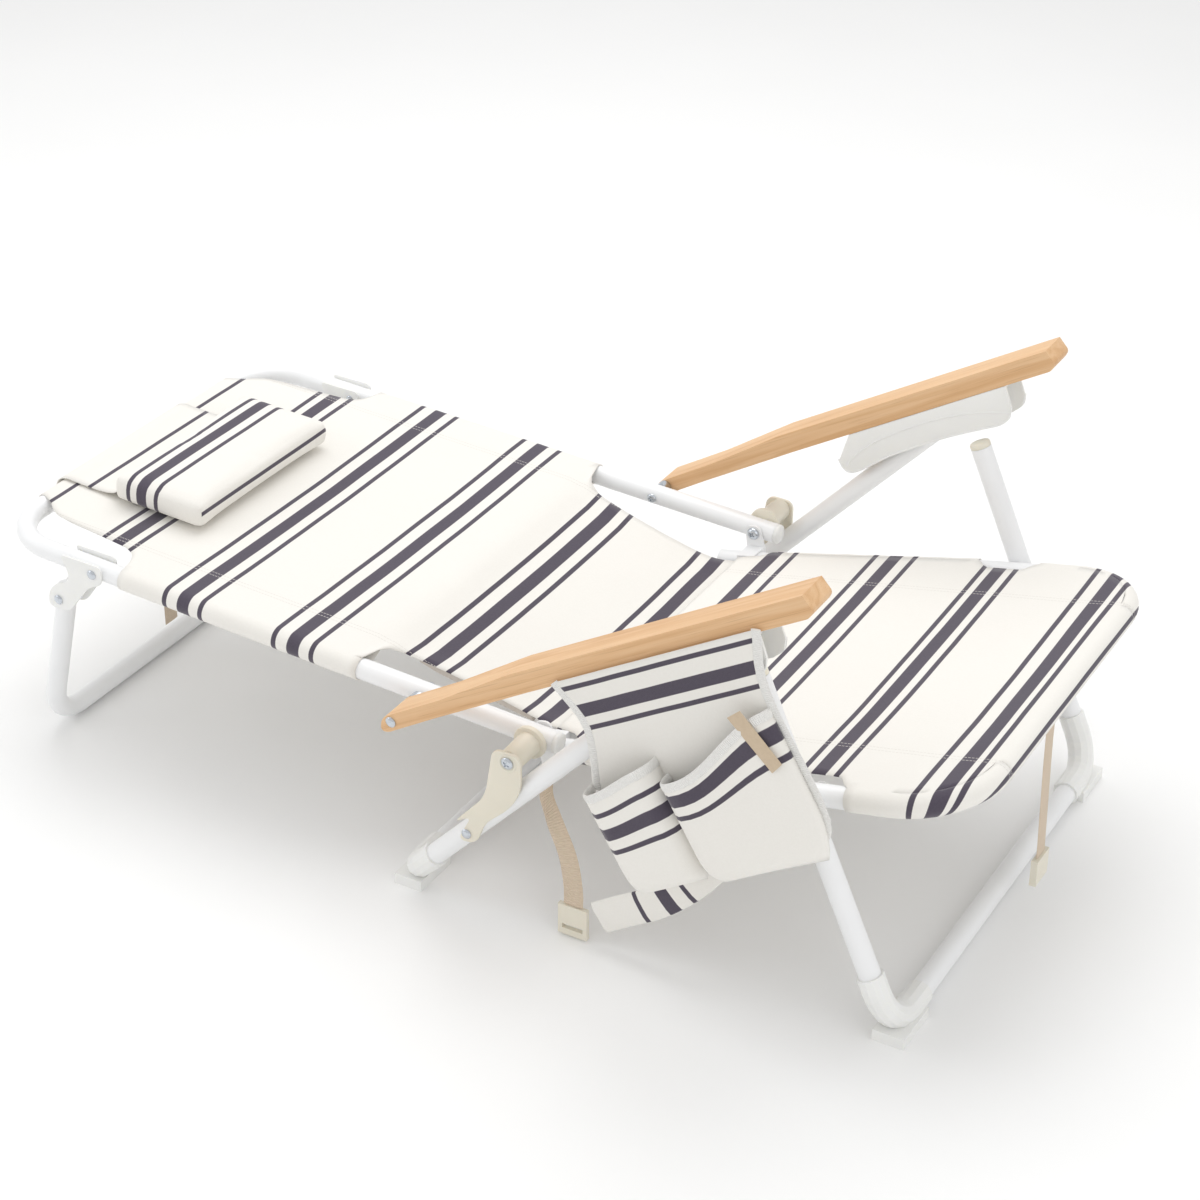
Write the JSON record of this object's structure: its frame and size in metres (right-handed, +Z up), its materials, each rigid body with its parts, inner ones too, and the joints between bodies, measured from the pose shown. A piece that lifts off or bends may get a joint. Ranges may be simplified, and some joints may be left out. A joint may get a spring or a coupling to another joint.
{
  "type": "folding beach chair",
  "caption": "Low folding beach chair lying flat, with a striped canvas sling, timber arms on racks, folding tube legs, a head leg, pillow, side pockets and shoulder straps.",
  "frame": {"origin": "on the ground under the middle of the chair's bounding box", "axes": "+X from the head end to the front of the seat, +Y to the sitter's left, +Z up"},
  "size_m": [1.2931, 0.7204, 0.5467],
  "materials": {
    "powder_coat": "satin",
    "timber": "oiled",
    "striped_canvas": "woven, dark woven stripes",
    "cotton_webbing": "woven",
    "white_plastic": "matte",
    "ivory_plastic": "matte",
    "zinc_steel": "bright zinc"
  },
  "bodies": {
    "seat": {"seat_frame": "powder_coat", "seat_bracket_l": "powder_coat", "seat_bracket_r": "powder_coat", "seat_sling": "striped_canvas", "seat_pivot_bolt_l": "white_plastic", "seat_pivot_bolt_r": "white_plastic", "strap_webbing_l": "cotton_webbing", "strap_webbing_r": "cotton_webbing", "strap_buckle_l": "white_plastic", "strap_buckle_r": "white_plastic", "strap_pad_l": "cotton_webbing", "strap_pad_r": "cotton_webbing", "closure_webbing": "cotton_webbing", "closure_buckle": "white_plastic"},
    "back": {"back_frame": "powder_coat", "back_sling": "striped_canvas", "back_pouch": "striped_canvas", "rail_cap_l": "white_plastic", "rail_cap_r": "white_plastic", "hip_hub_l": "ivory_plastic", "hip_hub_r": "ivory_plastic", "hip_bolt_l": "zinc_steel", "hip_bolt_r": "zinc_steel", "head_bracket_outer_l": "white_plastic", "head_bracket_outer_r": "white_plastic", "head_bracket_inner_l": "white_plastic", "head_bracket_inner_r": "white_plastic", "bracket_bolt_l": "zinc_steel", "bracket_bolt_r": "zinc_steel", "head_pivot_bolt_l": "zinc_steel", "head_pivot_bolt_r": "zinc_steel", "pillow": "striped_canvas", "pillow_flap": "striped_canvas", "head_tab_webbing": "cotton_webbing"},
    "front_leg": {"front_leg_frame": "powder_coat", "apex_plug_l": "ivory_plastic", "apex_plug_r": "ivory_plastic", "front_shoe_l": "white_plastic", "front_shoe_r": "white_plastic"},
    "rear_leg": {"rear_leg_frame": "powder_coat", "apex_pin_l": "zinc_steel", "apex_pin_r": "zinc_steel", "rear_shoe_l": "white_plastic", "rear_shoe_r": "white_plastic"},
    "link_l": {"link_plate_l": "white_plastic", "link_rivet_l": "zinc_steel"},
    "link_r": {"link_plate_r": "white_plastic", "link_rivet_r": "zinc_steel"},
    "arm_l": {"arm_l": "timber", "rack_l": "white_plastic", "arm_rivet_l": "zinc_steel"},
    "arm_r": {"arm_r": "timber", "rack_r": "white_plastic", "arm_rivet_r": "zinc_steel", "organiser_panel": "striped_canvas", "pocket_front": "striped_canvas", "pocket_rear": "striped_canvas"},
    "head_leg": {"head_leg_frame": "powder_coat"}
  },
  "joints": [
    {"name": "back_recline", "type": "hinge", "parent": "seat", "child": "back", "pos_m": [0.12975, 0.01755, 0.2313], "axis": [0, 1, 0], "range_deg": [0, 70]},
    {"name": "arm_l_pivot", "type": "hinge", "parent": "back", "child": "arm_l", "pos_m": [-0.01725, 0.33455, 0.2394], "axis": [0, -1, 0], "range_deg": [0, 60.48]},
    {"name": "arm_r_pivot", "type": "hinge", "parent": "back", "child": "arm_r", "pos_m": [-0.01725, -0.29945, 0.2394], "axis": [0, -1, 0], "range_deg": [0, 60.48]},
    {"name": "leg_fold", "type": "hinge", "parent": "seat", "child": "front_leg", "pos_m": [0.46755, 0.01755, 0.268], "axis": [0, 1, 0], "range_deg": [0, 84], "deforming": ["strap_webbing_l", "strap_webbing_r", "strap_buckle_l", "strap_buckle_r", "strap_pad_l", "strap_pad_r"]},
    {"name": "rear_leg_pivot", "type": "hinge", "parent": "front_leg", "child": "rear_leg", "pos_m": [0.37475, 0.01755, 0.443], "axis": [0, -1, 0], "range_deg": [0, 62.85]},
    {"name": "link_l_pivot", "type": "hinge", "parent": "seat", "child": "link_l", "pos_m": [0.12975, 0.34935, 0.2313], "axis": [0, -1, 0], "range_deg": [0, 80.96]},
    {"name": "link_r_pivot", "type": "hinge", "parent": "seat", "child": "link_r", "pos_m": [0.12975, -0.31425, 0.2313], "axis": [0, -1, 0], "range_deg": [0, 80.96]},
    {"name": "head_leg_fold", "type": "hinge", "parent": "back", "child": "head_leg", "pos_m": [-0.53425, 0.01755, 0.214], "axis": [0, -1, 0], "range_deg": [0, 98]}
  ],
  "couplings": [
    {"joint": "arm_l_pivot", "follows": "back_recline", "ratio": 0.864},
    {"joint": "arm_r_pivot", "follows": "back_recline", "ratio": 0.864},
    {"joint": "rear_leg_pivot", "follows": "leg_fold", "ratio": 0.7482},
    {"joint": "link_l_pivot", "follows": "leg_fold", "ratio": 0.9638},
    {"joint": "link_r_pivot", "follows": "leg_fold", "ratio": 0.9638}
  ]
}
